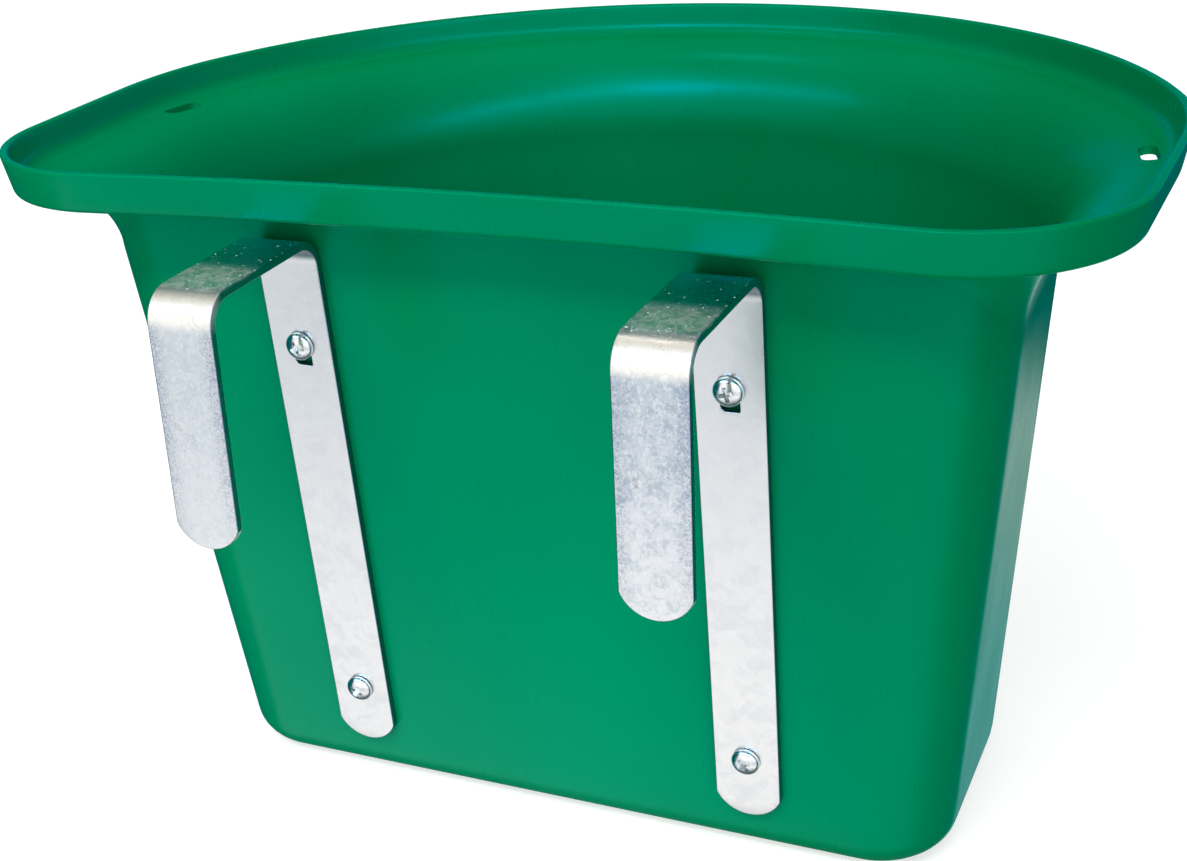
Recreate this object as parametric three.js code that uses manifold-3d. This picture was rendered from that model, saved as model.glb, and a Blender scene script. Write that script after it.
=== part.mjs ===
// Hook-over horse feeder: a moulded D-shaped tub that two bent steel straps hang on a rail.
// Lengths are millimetres and +Z is up. The hooks face -Y, the rounded front of the tub faces +Y.
import * as THREE from 'three';
import { mergeVertices } from 'three/addons/utils/BufferGeometryUtils.js';
import Module from 'manifold-3d';

const wasm = await Module();
wasm.setup();

// Driving dimensions.
// Places along Y are measured from the back face of the lip, and heights from the underside of the base.

// Every cutting solid runs this far past the faces that it cuts.
const overrun = 12;

// Gap between pieces that seat on each other.
const seatGap = 0.3;

// The plan of the lip's outer face: a back that bows in slightly at its middle, two rounded corners,
// nearly straight sides as far as the shoulders, and one round front. The sides draw in towards the
// back by the taper.
const rimPlan = {
  halfWidth: 212,
  sideTaper: 3.5,
  back: 0,
  backBow: 6.5,
  shoulder: 139.5,
  front: 305,
  cornerReach: 60,
  shoulderReach: 26,
};

// How far the wall stands in from the rim's plan, at the height of the flange's underside.
const flange = { side: 38.7, back: 29.4, shoulder: 0.5, front: 31.7 };
const mouthPlan = {
  halfWidth: rimPlan.halfWidth - flange.side,
  sideTaper: -1.5,
  back: rimPlan.back + flange.back,
  backBow: 0,
  shoulder: rimPlan.shoulder + flange.shoulder,
  front: rimPlan.front - flange.front,
  cornerReach: 32,
  shoulderReach: 28,
};

// How far the draft brings the wall in from there, down to the underside of the base.
const drawIn = { side: 20.5, back: 16, shoulder: 18, front: 31 };
const basePlan = {
  halfWidth: mouthPlan.halfWidth - drawIn.side,
  sideTaper: 0.5,
  back: mouthPlan.back + drawIn.back,
  backBow: 0,
  shoulder: mouthPlan.shoulder + drawIn.shoulder,
  front: mouthPlan.front - drawIn.front,
  cornerReach: 30,
  shoulderReach: 24,
};

const tub = {
  height: 267.5,
  wall: 3,
  baseRadius: 13,
  lipHeight: 15.6,
  lipLean: 3,
  lipThickness: 3,
  lipEdgeRadius: 0.9,
  lipFootOuterRadius: 2,
  lipFootInnerRadius: 2.5,
  flareHeight: 38,
  backFlareHeight: 9,
};

// Two slots go through the flange, one at each shoulder, this far in from the lip's outer face.
const rimSlot = { length: 18, width: 6.3, setback: 16 };

// A hook is one flat bar: a long stretch bolted to the tub, a level run over the rail, and a leg.
const hook = {
  width: 25,
  thickness: 3,
  bendRadius: 9,
  spacing: 164.5,
  top: 241.7,
  reach: 66.5,
  legDrop: 91,
  legSplay: THREE.MathUtils.degToRad(2),
  wallDrop: 222,
  endRadius: 13.4,
};

const screw = {
  shankRadius: 3,
  length: 16,
  tipChamfer: 0.6,
  headRadius: 6,
  headHeight: 4.4,
  headRimHeight: 1.1,
  recessSpan: 6.4,
  recessDepth: 3.1,
  recessWidth: 1.7,
  recessFloorSpan: 2.4,
  upperDrop: 43,
  lowerDrop: 196,
};

const washer = { radius: 9, boreRadius: 3.2, thickness: 1.6 };

const nut = {
  acrossFlats: 10,
  height: 4.3,
  chamfer: 0.5,
  boreRadius: 3.3,
  collarRadius: 4.45,
  collarHeight: 1.7,
  pocketRadius: 3.95,
};

const insert = { clearance: 0.15, boreRadius: 3.25, height: 1.5 };

// The upper hole in each strap is a square-cornered slot, and the screw sits near its top.
const strapSlot = { width: 6.7, above: 3.6, below: 8, cornerRadius: 0.6 };
const strapHoleRadius = 3.3;
const tubHoleRadius = 3.3;

// Faces round each stretch of the tub's plan and of its section.
const planSteps = { back: 4, corner: 6, side: 3, shoulder: 3, front: 11 };
const sectionSteps = { fillet: 4, flare: 6, lipFoot: 2, wall: 2 };
const roundSides = 20;
const bendSteps = 8;

// Control points of a cubic that stands for a quarter circle lie at this share of its reach.
const quarterCircleShare = 0.5523;

// Derived values.
const flangeBottom = tub.height - tub.lipHeight;
const draft = Math.atan2(drawIn.back, flangeBottom);

const materials = {
  tub: new THREE.MeshStandardMaterial({ color: 0x00835a, roughness: 0.42, metalness: 0 }),
  strap: new THREE.MeshStandardMaterial({ color: 0xc3c7cc, roughness: 0.38, metalness: 1 }),
  screw: new THREE.MeshStandardMaterial({ color: 0xd2d5d8, roughness: 0.25, metalness: 1 }),
  nut: new THREE.MeshStandardMaterial({ color: 0xc8cacd, roughness: 0.35, metalness: 1 }),
  insert: new THREE.MeshStandardMaterial({ color: 0xe4e6e2, roughness: 0.5, metalness: 0 }),
};

// Solids and booleans

function toSolid(geometry) {
  const bare = geometry.clone();
  bare.deleteAttribute('normal');
  bare.deleteAttribute('uv');
  const merged = mergeVertices(bare);
  return new wasm.Manifold(new wasm.Mesh({
    numProp: 3,
    vertProperties: new Float32Array(merged.attributes.position.array),
    triVerts: new Uint32Array(merged.index.array),
  }));
}

function toGeometry(solid) {
  const mesh = solid.getMesh();
  const geometry = new THREE.BufferGeometry();
  geometry.setAttribute('position', new THREE.BufferAttribute(new Float32Array(mesh.vertProperties), 3));
  geometry.setIndex(new THREE.BufferAttribute(new Uint32Array(mesh.triVerts), 1));
  geometry.computeVertexNormals();
  return geometry;
}

function subtractAll(solid, cutters) {
  return cutters.reduce((left, cutter) => left.subtract(toSolid(cutter)), solid);
}

function piece(name, geometry, material) {
  const mesh = new THREE.Mesh(geometry, material);
  mesh.name = name;
  return mesh;
}

// A solid of revolution round Y from the points of its closed section, in radius and height.
function revolve(section) {
  const points = section.map(([radius, height]) => new THREE.Vector2(radius, height));
  return new THREE.LatheGeometry([...points, points[0].clone()], roundSides);
}

// Plan of the tub

// Half of a D-shaped plan, from the middle of its back to the middle of its front.
function halfPlan(plan) {
  const halfWidthAtBack = plan.halfWidth - plan.sideTaper;
  const backMiddle = new THREE.Vector2(0, plan.back + plan.backBow);
  const backEnd = new THREE.Vector2(halfWidthAtBack - plan.cornerReach, plan.back);
  const backHandle = new THREE.Vector2(backEnd.x / 2, plan.back + plan.backBow);
  const backHeading = backEnd.clone().sub(backHandle).normalize();
  const corner = backEnd.clone().addScaledVector(backHeading, plan.cornerReach);
  const shoulder = new THREE.Vector2(plan.halfWidth, plan.shoulder);
  const side = shoulder.clone().sub(corner).normalize();
  const sideStart = corner.clone().addScaledVector(side, plan.cornerReach);
  const sideEnd = shoulder.clone().addScaledVector(side, -plan.shoulderReach);
  const front = frontArc(plan);
  const arcStart = front.angle + plan.shoulderReach / front.radius;
  const arc = new THREE.EllipseCurve(0, front.centre, front.radius, front.radius, arcStart, Math.PI / 2);
  const stretches = [
    [new THREE.QuadraticBezierCurve(backMiddle, backHandle, backEnd), planSteps.back],
    [new THREE.CubicBezierCurve(
      backEnd,
      backEnd.clone().lerp(corner, quarterCircleShare),
      sideStart.clone().lerp(corner, quarterCircleShare),
      sideStart,
    ), planSteps.corner],
    [new THREE.LineCurve(sideStart, sideEnd), planSteps.side],
    [new THREE.QuadraticBezierCurve(sideEnd, shoulder, arc.getPoint(0)), planSteps.shoulder],
    [arc, planSteps.front],
  ];
  const points = [backMiddle];
  for (const [curve, steps] of stretches) {
    for (let step = 1; step <= steps; step += 1) {
      points.push(curve.getPoint(step / steps));
    }
  }
  return points;
}

// The circle of the front, which goes through both shoulders and the foremost point.
function frontArc(plan) {
  const rise = plan.front - plan.shoulder;
  const radius = (plan.halfWidth ** 2 + rise ** 2) / (2 * rise);
  const centre = plan.front - radius;
  return { radius, centre, angle: Math.atan2(plan.shoulder - centre, plan.halfWidth) };
}

// The whole plan, counter-clockwise seen from above, with the outward normal at each point.
function wholePlan(plan) {
  const right = halfPlan(plan);
  const left = right.slice(1, -1).reverse().map((point) => new THREE.Vector2(-point.x, point.y));
  const points = [...right, ...left];
  const normals = points.map((point, index) => {
    const before = points[(index + points.length - 1) % points.length];
    const after = points[(index + 1) % points.length];
    return new THREE.Vector2(after.y - before.y, before.x - after.x).normalize();
  });
  return { points, normals };
}

// How far each point of the plan has turned from the back, where the flare is low, to the sides.
function flareHeights() {
  const ease = (share) => share * share * (3 - 2 * share);
  const half = planSteps.back + planSteps.corner + planSteps.side + planSteps.shoulder + planSteps.front;
  const heightAt = (index) => {
    const share = THREE.MathUtils.clamp((index - planSteps.back) / planSteps.corner, 0, 1);
    return THREE.MathUtils.lerp(tub.backFlareHeight, tub.flareHeight, ease(share));
  };
  const right = Array.from({ length: half + 1 }, (_, index) => heightAt(index));
  return [...right, ...right.slice(1, -1).reverse()];
}

// Tub

// The tub's skin as closed rings, from the middle of the base up the outside and down the inside.
function tubRings() {
  const base = wholePlan(basePlan);
  const mouth = wholePlan(mouthPlan);
  const rim = wholePlan(rimPlan);
  const heights = flareHeights();
  const innerBaseRadius = tub.baseRadius - tub.wall;
  const flangeLand = tub.lipThickness + tub.lipFootInnerRadius;
  const columns = base.points.map((_, index) => {
    const normal = mouth.normals[index];
    const rimNormal = rim.normals[index];
    const wallAt = (height, inset) => {
      const share = height / flangeBottom;
      const point = base.points[index].clone().lerp(mouth.points[index], share);
      return point.addScaledVector(normal, -inset);
    };
    const lipAt = (height, inset) => {
      const lean = tub.lipLean * ((tub.height - height) / tub.lipHeight);
      return rim.points[index].clone().addScaledVector(rimNormal, -inset - lean);
    };
    const flareStart = flangeBottom - heights[index];
    const flareFoot = wallAt(flareStart, 0);
    const outward = lipAt(flangeBottom, 0).sub(flareFoot);
    const flareReach = Math.min(heights[index], outward.length() - flangeLand);
    outward.normalize();
    return { wallAt, lipAt, flareStart, flareFoot, outward, flareReach, flareHeight: heights[index] };
  });
  const rings = [];
  const ring = (place) => rings.push(columns.map((column) => {
    const [point, height] = place(column);
    return new THREE.Vector3(point.x, point.y, height);
  }));
  const lipRing = (height, inset) => ring((column) => [column.lipAt(height, inset), height]);
  const quarter = (step, steps) => (step / steps) * (Math.PI / 2);
  const flare = (angle, skin) => (column) => {
    const along = column.flareReach * (1 - Math.cos(angle)) - skin * Math.cos(angle);
    const height = column.flareStart + column.flareHeight * Math.sin(angle) + skin * Math.sin(angle);
    return [column.flareFoot.clone().addScaledVector(column.outward, along), height];
  };

  for (let step = 0; step <= sectionSteps.fillet; step += 1) {
    const angle = quarter(step, sectionSteps.fillet);
    const height = tub.baseRadius * (1 - Math.cos(angle));
    ring((column) => [column.wallAt(height, tub.baseRadius * (1 - Math.sin(angle))), height]);
  }
  for (let step = 1; step < sectionSteps.wall; step += 1) {
    ring((column) => {
      const height = THREE.MathUtils.lerp(tub.baseRadius, column.flareStart, step / sectionSteps.wall);
      return [column.wallAt(height, 0), height];
    });
  }
  for (let step = 0; step <= sectionSteps.flare; step += 1) {
    ring(flare(quarter(step, sectionSteps.flare), 0));
  }
  for (let step = 0; step <= sectionSteps.lipFoot; step += 1) {
    const angle = quarter(step, sectionSteps.lipFoot);
    const inset = tub.lipFootOuterRadius * (1 - Math.sin(angle));
    const height = flangeBottom + tub.lipFootOuterRadius * (1 - Math.cos(angle));
    lipRing(height, inset);
  }
  lipRing(tub.height - tub.lipEdgeRadius, 0);
  lipRing(tub.height, tub.lipEdgeRadius);
  lipRing(tub.height, tub.lipThickness - tub.lipEdgeRadius);
  lipRing(tub.height - tub.lipEdgeRadius, tub.lipThickness);
  for (let step = 0; step <= sectionSteps.lipFoot; step += 1) {
    const angle = quarter(step, sectionSteps.lipFoot);
    const inset = tub.lipThickness + tub.lipFootInnerRadius * (1 - Math.cos(angle));
    const height = flangeBottom + tub.wall + tub.lipFootInnerRadius * (1 - Math.sin(angle));
    lipRing(height, inset);
  }
  for (let step = sectionSteps.flare; step >= 0; step -= 1) {
    ring(flare(quarter(step, sectionSteps.flare), tub.wall));
  }
  for (let step = sectionSteps.wall - 1; step >= 1; step -= 1) {
    ring((column) => {
      const height = THREE.MathUtils.lerp(tub.baseRadius, column.flareStart, step / sectionSteps.wall);
      return [column.wallAt(height, tub.wall), height];
    });
  }
  for (let step = sectionSteps.fillet; step >= 0; step -= 1) {
    const angle = quarter(step, sectionSteps.fillet);
    const height = tub.wall + innerBaseRadius * (1 - Math.cos(angle));
    ring((column) => [column.wallAt(height, tub.wall + innerBaseRadius * (1 - Math.sin(angle))), height]);
  }
  return rings;
}

// A closed skin over rings of equal count, with a fan over the first and the last.
function skinRings(rings) {
  const positions = [];
  const indices = [];
  const count = rings[0].length;
  for (const point of rings.flat()) {
    positions.push(point.x, point.y, point.z);
  }
  for (let row = 0; row + 1 < rings.length; row += 1) {
    for (let column = 0; column < count; column += 1) {
      const next = (column + 1) % count;
      const a = row * count + column;
      const b = row * count + next;
      const c = (row + 1) * count + next;
      const d = (row + 1) * count + column;
      indices.push(a, b, c, a, c, d);
    }
  }
  const fan = (row, turned) => {
    const centre = new THREE.Vector3();
    for (const point of rings[row]) {
      centre.addScaledVector(point, 1 / count);
    }
    const hub = positions.length / 3;
    positions.push(centre.x, centre.y, centre.z);
    for (let column = 0; column < count; column += 1) {
      const a = row * count + column;
      const b = row * count + ((column + 1) % count);
      indices.push(hub, ...(turned ? [b, a] : [a, b]));
    }
  };
  fan(0, true);
  fan(rings.length - 1, false);
  const geometry = new THREE.BufferGeometry();
  geometry.setAttribute('position', new THREE.Float32BufferAttribute(positions, 3));
  geometry.setIndex(indices);
  return geometry;
}

// One upright cutter with round ends for a slot in the flange. The slot follows the lip's curve.
function rimSlotCutter(side) {
  const front = frontArc(rimPlan);
  const radius = front.radius - rimSlot.setback;
  const half = { length: rimSlot.length / 2, width: rimSlot.width / 2 };
  const straight = half.length - half.width;
  const outline = new THREE.Shape();
  outline.absarc(0, straight, half.width, 0, Math.PI);
  outline.absarc(0, -straight, half.width, Math.PI, 2 * Math.PI);
  const depth = tub.lipHeight + tub.wall + 2 * overrun;
  const cutter = new THREE.ExtrudeGeometry(outline, {
    depth,
    bevelEnabled: false,
    curveSegments: roundSides / 4,
  });
  cutter.rotateZ(side * front.angle);
  cutter.translate(
    side * radius * Math.cos(front.angle),
    front.centre + radius * Math.sin(front.angle),
    flangeBottom - overrun,
  );
  return cutter;
}

// Every screw stands square to the drafted back wall.
function screwPlace(side, drop) {
  return new THREE.Vector3(
    side * (hook.spacing / 2),
    backAt(hook.top) + drop * Math.sin(draft),
    hook.top - drop * Math.cos(draft),
  );
}

function backAt(height) {
  return basePlan.back - height * Math.tan(draft);
}

// Turns a piece whose axis is +Y, pointing away from the tub, square to the back wall.
function turnToWall(geometry, place) {
  geometry.rotateX(Math.PI + draft);
  geometry.translate(place.x, place.y, place.z);
  return geometry;
}

const screwStations = [
  { side: -1, drop: screw.upperDrop, label: 'upper_left' },
  { side: 1, drop: screw.upperDrop, label: 'upper_right' },
  { side: -1, drop: screw.lowerDrop, label: 'lower_left' },
  { side: 1, drop: screw.lowerDrop, label: 'lower_right' },
];

function buildTub() {
  const cutters = screwStations.map(({ side, drop }) => {
    const drill = new THREE.CylinderGeometry(tubHoleRadius, tubHoleRadius, 2 * overrun, roundSides);
    return turnToWall(drill, screwPlace(side, drop));
  });
  cutters.push(rimSlotCutter(-1), rimSlotCutter(1));
  const shell = subtractAll(toSolid(skinRings(tubRings())), cutters);
  return piece('tub', toGeometry(shell), materials.tub);
}

// Hooks

// Points along a bar's middle line in the Y-Z plane, with a round bend at each inner corner.
function bentLine(corners, bend) {
  const line = [{ point: corners[0], heading: corners[1].clone().sub(corners[0]).normalize() }];
  for (let index = 1; index + 1 < corners.length; index += 1) {
    const arriving = corners[index].clone().sub(corners[index - 1]).normalize();
    const leaving = corners[index + 1].clone().sub(corners[index]).normalize();
    const turn = Math.atan2(arriving.cross(leaving), arriving.dot(leaving));
    const reach = bend * Math.tan(Math.abs(turn) / 2);
    const start = corners[index].clone().addScaledVector(arriving, -reach);
    const inward = new THREE.Vector2(-arriving.y, arriving.x).multiplyScalar(Math.sign(turn));
    const centre = start.clone().addScaledVector(inward, bend);
    for (let step = 0; step <= bendSteps; step += 1) {
      const angle = (turn * step) / bendSteps;
      const heading = arriving.clone().rotateAround(new THREE.Vector2(), angle);
      line.push({ point: start.clone().rotateAround(centre, angle), heading });
    }
  }
  const last = corners[corners.length - 1];
  line.push({ point: last, heading: last.clone().sub(corners[corners.length - 2]).normalize() });
  return line;
}

// The middle line of a hook, from the foot of its long stretch over the run to the tip of its leg.
function hookLine() {
  const middle = hook.thickness / 2;
  const level = hook.top - middle;
  const faceAtTop = backAt(hook.top) - (seatGap + hook.thickness) / Math.cos(draft);
  const wallMiddle = faceAtTop + middle / Math.cos(draft);
  const legMiddle = faceAtTop - hook.reach + middle / Math.cos(hook.legSplay);
  const foot = new THREE.Vector2(
    wallMiddle + hook.wallDrop * Math.sin(draft),
    hook.top - hook.wallDrop * Math.cos(draft),
  );
  const tip = new THREE.Vector2(
    legMiddle - hook.legDrop * Math.sin(hook.legSplay),
    hook.top - hook.legDrop * Math.cos(hook.legSplay),
  );
  const rear = new THREE.Vector2(wallMiddle + middle * Math.tan(draft), level);
  const fore = new THREE.Vector2(legMiddle - middle * Math.tan(hook.legSplay), level);
  return [foot, rear, fore, tip];
}

// A cutter that rounds the end of a bar. Its tip is the origin, with the bar above it.
function endCutter() {
  const half = hook.width / 2;
  const rise = Math.sqrt(hook.endRadius ** 2 - half ** 2);
  const edge = hook.endRadius - rise;
  const start = Math.atan2(-rise, -half);
  const end = Math.atan2(-rise, half);
  const outline = new THREE.Shape();
  outline.absarc(0, hook.endRadius, hook.endRadius, start, end);
  outline.lineTo(half + overrun, edge);
  outline.lineTo(half + overrun, -overrun);
  outline.lineTo(-half - overrun, -overrun);
  outline.lineTo(-half - overrun, edge);
  const cutter = new THREE.ExtrudeGeometry(outline, {
    depth: 2 * overrun,
    bevelEnabled: false,
    curveSegments: roundSides / 2,
  });
  cutter.translate(0, 0, -overrun);
  cutter.rotateX(Math.PI / 2);
  return cutter;
}

// A square-cornered slot cutter along the strap, as seen square to the wall. Down is +Z here.
function strapSlotCutter() {
  const half = strapSlot.width / 2;
  const radius = strapSlot.cornerRadius;
  const { above, below } = strapSlot;
  const outline = new THREE.Shape();
  outline.absarc(half - radius, below - radius, radius, 0, Math.PI / 2);
  outline.absarc(-half + radius, below - radius, radius, Math.PI / 2, Math.PI);
  outline.absarc(-half + radius, -above + radius, radius, Math.PI, (3 * Math.PI) / 2);
  outline.absarc(half - radius, -above + radius, radius, (3 * Math.PI) / 2, 2 * Math.PI);
  const cutter = new THREE.ExtrudeGeometry(outline, {
    depth: 2 * overrun,
    bevelEnabled: false,
    curveSegments: 3,
  });
  cutter.translate(0, 0, -overrun);
  cutter.rotateX(Math.PI / 2);
  return cutter;
}

function buildHook(side, name) {
  const corners = hookLine();
  const half = hook.thickness / 2;
  const line = bentLine(corners, hook.bendRadius + half);
  const offset = ({ point, heading }, distance) => (
    new THREE.Vector2(point.x - heading.y * distance, point.y + heading.x * distance)
  );
  const outline = new THREE.Shape([
    ...line.map((station) => offset(station, -half)),
    ...line.map((station) => offset(station, half)).reverse(),
  ]);
  const bar = new THREE.ExtrudeGeometry(outline, { depth: hook.width, bevelEnabled: false });
  bar.translate(0, 0, -hook.width / 2);
  // The section is drawn in X and Y, and stands in Y and Z.
  bar.applyMatrix4(new THREE.Matrix4().makeBasis(
    new THREE.Vector3(0, 1, 0),
    new THREE.Vector3(0, 0, 1),
    new THREE.Vector3(1, 0, 0),
  ));
  const [foot, , , tip] = corners;
  const footCutter = endCutter();
  footCutter.rotateX(draft);
  footCutter.translate(0, foot.x, foot.y);
  const tipCutter = endCutter();
  tipCutter.rotateX(-hook.legSplay);
  tipCutter.translate(0, tip.x, tip.y);
  const upperSlot = turnToWall(strapSlotCutter(), screwPlace(0, screw.upperDrop));
  const drill = new THREE.CylinderGeometry(strapHoleRadius, strapHoleRadius, 2 * overrun, roundSides);
  const lowerHole = turnToWall(drill, screwPlace(0, screw.lowerDrop));
  const cut = toGeometry(subtractAll(toSolid(bar), [footCutter, tipCutter, upperSlot, lowerHole]));
  cut.translate(side * (hook.spacing / 2), 0, 0);
  return piece(name, cut, materials.strap);
}

// Fasteners, with the back wall's outer face at zero and +Y pointing away from the tub

const stack = {};
stack.headSeat = seatGap + hook.thickness + seatGap;
stack.washerSeat = -tub.wall * Math.cos(draft) - seatGap;
stack.nutSeat = stack.washerSeat - washer.thickness - seatGap;

// One tapered wing of the cross recess, as wide at the top as its span.
function recessWing() {
  const outline = new THREE.Shape();
  const top = screw.headHeight;
  const floor = top - screw.recessDepth;
  const widen = (screw.recessSpan - screw.recessFloorSpan) / 2 / screw.recessDepth;
  const high = screw.recessSpan / 2 + overrun * widen;
  outline.moveTo(-screw.recessFloorSpan / 2, floor);
  outline.lineTo(screw.recessFloorSpan / 2, floor);
  outline.lineTo(high, top + overrun);
  outline.lineTo(-high, top + overrun);
  const wing = new THREE.ExtrudeGeometry(outline, { depth: screw.recessWidth, bevelEnabled: false });
  wing.translate(0, 0, -screw.recessWidth / 2);
  return wing;
}

// A pan head with a domed top, and the shank below it.
function screwGeometry() {
  const domeSteps = 5;
  const section = [
    [0, -screw.length],
    [screw.shankRadius - screw.tipChamfer, -screw.length],
    [screw.shankRadius, -screw.length + screw.tipChamfer],
    [screw.shankRadius, 0],
    [screw.headRadius, 0],
  ];
  const domeHeight = screw.headHeight - screw.headRimHeight;
  for (let step = 0; step <= domeSteps; step += 1) {
    const angle = (step / domeSteps) * (Math.PI / 2);
    section.push([screw.headRadius * Math.cos(angle), screw.headRimHeight + domeHeight * Math.sin(angle)]);
  }
  section[section.length - 1][0] = 0;
  const wing = recessWing();
  const crossWing = wing.clone().rotateY(Math.PI / 2);
  return toGeometry(subtractAll(toSolid(revolve(section)), [wing, crossWing]));
}

function washerGeometry() {
  return revolve([
    [washer.boreRadius, -washer.thickness],
    [washer.radius, -washer.thickness],
    [washer.radius, 0],
    [washer.boreRadius, 0],
  ]);
}

// A hexagon whose corners are turned off at both ends, with a thin collar round a nylon ring.
function nutGeometry() {
  const cornerRadius = nut.acrossFlats / 2 / Math.cos(Math.PI / 6);
  const hexagon = new THREE.CylinderGeometry(cornerRadius, cornerRadius, nut.height, 6);
  hexagon.translate(0, -nut.height / 2, 0);
  const flatRadius = nut.acrossFlats / 2;
  const turned = revolve([
    [0, -nut.height],
    [flatRadius, -nut.height],
    [cornerRadius, -nut.height + nut.chamfer],
    [cornerRadius, -nut.chamfer],
    [flatRadius, 0],
    [0, 0],
  ]);
  const collar = revolve([
    [0, -nut.height - nut.collarHeight],
    [nut.collarRadius, -nut.height - nut.collarHeight],
    [nut.collarRadius, -nut.height / 2],
    [0, -nut.height / 2],
  ]);
  const bore = revolve([
    [0, -nut.height - nut.collarHeight - overrun],
    [nut.pocketRadius, -nut.height - nut.collarHeight - overrun],
    [nut.pocketRadius, -nut.height],
    [nut.boreRadius, -nut.height],
    [nut.boreRadius, overrun],
    [0, overrun],
  ]);
  const body = toSolid(hexagon).intersect(toSolid(turned)).add(toSolid(collar));
  return toGeometry(body.subtract(toSolid(bore)));
}

function insertGeometry() {
  const radius = nut.pocketRadius - insert.clearance;
  const top = -nut.height - insert.clearance;
  return revolve([
    [insert.boreRadius, top - insert.height],
    [radius, top - insert.height],
    [radius, top],
    [insert.boreRadius, top],
  ]);
}

function buildFasteners({ side, drop, label }) {
  const group = new THREE.Group();
  const kinds = [
    ['screw', screwGeometry, materials.screw, stack.headSeat],
    ['washer', washerGeometry, materials.nut, stack.washerSeat],
    ['lock_nut', nutGeometry, materials.nut, stack.nutSeat],
    ['nylon_insert', insertGeometry, materials.insert, stack.nutSeat],
  ];
  for (const [kind, geometry, material, seat] of kinds) {
    const mesh = piece(`${kind}_${label}`, geometry(), material);
    mesh.position.y = seat;
    group.add(mesh);
  }
  group.rotation.x = Math.PI + draft;
  group.position.copy(screwPlace(side, drop));
  return group;
}

// Assembly

const feeder = new THREE.Group();
feeder.add(buildTub());
feeder.add(buildHook(-1, 'hook_strap_left'));
feeder.add(buildHook(1, 'hook_strap_right'));
for (const station of screwStations) {
  feeder.add(buildFasteners(station));
}

// The origin is at the middle of the object's box, on the surface that the base stands on.
const outermost = hookLine()[3].x - hook.thickness / 2 / Math.cos(hook.legSplay);
feeder.position.y = -(outermost + rimPlan.front) / 2;

export default feeder;
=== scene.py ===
"""Looks of the hook-over horse feeder: a green moulded tub, two zinc plated straps and their fasteners.

Sizes are given in millimetres and become metres where a mesh is made. +X runs along the rim, the hooks
are on the -Y side and +Z is up. Places along Y are measured from the back of the lip, as the tub's
packed box gives it.
"""

import math

import bmesh
import bpy
from mathutils import Matrix, Vector


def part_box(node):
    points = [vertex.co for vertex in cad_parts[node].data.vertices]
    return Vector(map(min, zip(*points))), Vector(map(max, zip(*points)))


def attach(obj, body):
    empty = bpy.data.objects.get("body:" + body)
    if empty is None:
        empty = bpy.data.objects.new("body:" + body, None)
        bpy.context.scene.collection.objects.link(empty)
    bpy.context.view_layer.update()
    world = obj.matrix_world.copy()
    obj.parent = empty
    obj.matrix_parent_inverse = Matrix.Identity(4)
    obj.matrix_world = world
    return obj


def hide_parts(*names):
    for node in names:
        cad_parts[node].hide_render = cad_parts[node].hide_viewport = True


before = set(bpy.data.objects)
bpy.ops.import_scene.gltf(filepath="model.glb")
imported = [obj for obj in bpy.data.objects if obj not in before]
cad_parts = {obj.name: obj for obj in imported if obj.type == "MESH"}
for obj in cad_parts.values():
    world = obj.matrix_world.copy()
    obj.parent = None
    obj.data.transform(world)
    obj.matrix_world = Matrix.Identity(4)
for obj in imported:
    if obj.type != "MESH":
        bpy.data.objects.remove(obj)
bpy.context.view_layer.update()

MM = 0.001
QUARTER_CIRCLE_SHARE = 0.5523
OVERRUN = 12
SEAT_GAP = 0.3
SHARP_ANGLE = math.radians(32)
ON_AXIS = 1e-6
WELD_DISTANCE = 1e-4
CUT_TOLERANCE = 1e-5

RIM_PLAN = dict(half_width=211.88, side_taper=3.5, back=0, back_bow=6.5, shoulder=139.5, front=305,
                corner=60, blend=26)
MOUTH_PLAN = dict(half_width=173.3, side_taper=-1.5, back=29.4, back_bow=0, shoulder=140, front=273.3,
                  corner=32, blend=28)
BASE_PLAN = dict(half_width=152.8, side_taper=0.5, back=45.4, back_bow=0, shoulder=158, front=242.3,
                 corner=30, blend=24)
PLAN_STEPS = dict(back=22, corner=22, side=22, shoulder=12, front=78)

TUB_HEIGHT = 267.5
TUB_WALL = 3
BASE_RADIUS = 13
LIP = dict(height=15.6, lean=3, thickness=3, edge=0.9, outer_foot=2, inner_foot=4.5)
FLARE_HEIGHT = 38
BACK_FLARE_HEIGHT = 9
SECTION_STEPS = dict(fillet=9, wall=26, flare=22, foot=5, lip=4, edge=4)
RIM_SLOT = dict(length=18, width=6.3, setback=16)
PLAN_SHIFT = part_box("tub")[1].y / MM + LIP["lean"] * LIP["edge"] / LIP["height"] - RIM_PLAN["front"]

HOOK = dict(width=25, thickness=3, bend=9, spacing=164.5, top=241.7, reach=66.5, leg_drop=91,
            leg_splay=math.radians(2), wall_drop=222, end_radius=13.4, edge=0.45)
STRAP_SLOT = dict(width=6.7, above=3.6, below=8, corner=0.6, worn_corner=2.1)
STRAP_HOLE_RADIUS = 3.3
TUB_HOLE_RADIUS = 3.3
UPPER_DROP = 43
LOWER_DROP = 196

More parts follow.
